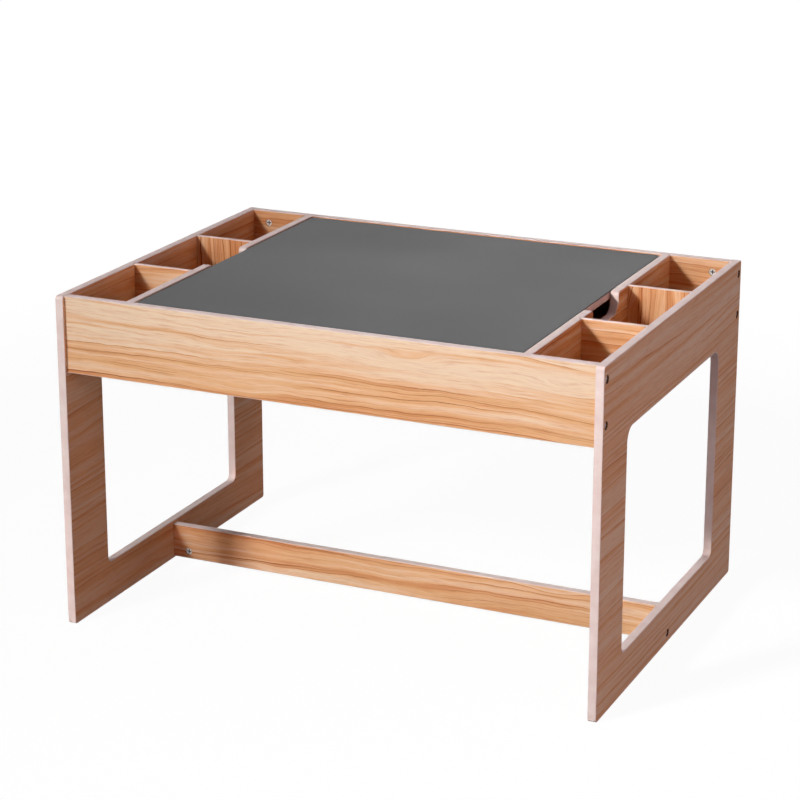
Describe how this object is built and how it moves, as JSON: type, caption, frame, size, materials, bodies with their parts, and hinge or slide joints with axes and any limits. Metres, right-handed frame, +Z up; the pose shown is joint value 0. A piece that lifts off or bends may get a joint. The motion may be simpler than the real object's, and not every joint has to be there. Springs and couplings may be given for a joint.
{
  "type": "kids table with storage",
  "caption": "Children's activity table: open side panels, lift-off blackboard top over a storage well, and divided trays with loose dividers at both ends.",
  "frame": {"origin": "middle of the table on the floor, under the centre of the bounding box", "axes": "+X along the table to the right as seen from the front, +Y to the rear, +Z up"},
  "size_m": [0.8, 0.58, 0.485],
  "materials": {
    "wood_laminate": "satin woodgrain melamine",
    "edge_band": "satin pale pinkish edge banding",
    "blackboard": "matte dark grey writing surface",
    "zinc_steel": "bright zinc plating",
    "beech": "bare beech"
  },
  "bodies": {
    "frame": {"side_panel_left": "wood_laminate", "side_panel_right": "wood_laminate", "side_edge_band_left": "edge_band", "side_edge_band_right": "edge_band", "foot_edge_band_left": "edge_band", "foot_edge_band_right": "edge_band", "window_edge_band_left": "edge_band", "window_edge_band_right": "edge_band", "front_apron": "wood_laminate", "rear_apron": "wood_laminate", "front_apron_edge_bands": "edge_band", "rear_apron_edge_bands": "edge_band", "stretcher": "wood_laminate", "stretcher_edge_bands": "edge_band", "tray_wall_left": "wood_laminate", "tray_wall_right": "wood_laminate", "tray_wall_edge_band_left": "edge_band", "tray_wall_edge_band_right": "edge_band", "bottom_panel": "wood_laminate", "front_batten": "beech", "rear_batten": "beech", "batten_screws": "zinc_steel", "connector_bolts": "zinc_steel", "barrel_nuts": "zinc_steel", "stretcher_dowels": "beech", "tray_wall_dowels": "beech"},
    "tabletop": {"tabletop_core": "wood_laminate", "tabletop_edge_band": "edge_band", "blackboard_sheet": "blackboard"},
    "divider_left_front": {"divider_left_front": "wood_laminate", "divider_edge_band_left_front": "edge_band"},
    "divider_left_rear": {"divider_left_rear": "wood_laminate", "divider_edge_band_left_rear": "edge_band"},
    "divider_right_front": {"divider_right_front": "wood_laminate", "divider_edge_band_right_front": "edge_band"},
    "divider_right_rear": {"divider_right_rear": "wood_laminate", "divider_edge_band_right_rear": "edge_band"}
  },
  "joints": [
    {"name": "tabletop_lift", "type": "slide", "parent": "frame", "child": "tabletop", "axis": [0, 0, 1], "range_m": [0, 0.15]},
    {"name": "divider_left_front_lift", "type": "slide", "parent": "frame", "child": "divider_left_front", "axis": [0, 0, 1], "range_m": [0, 0.11]},
    {"name": "divider_left_rear_lift", "type": "slide", "parent": "frame", "child": "divider_left_rear", "axis": [0, 0, 1], "range_m": [0, 0.11]},
    {"name": "divider_right_front_lift", "type": "slide", "parent": "frame", "child": "divider_right_front", "axis": [0, 0, 1], "range_m": [0, 0.11]},
    {"name": "divider_right_rear_lift", "type": "slide", "parent": "frame", "child": "divider_right_rear", "axis": [0, 0, 1], "range_m": [0, 0.11]}
  ]
}
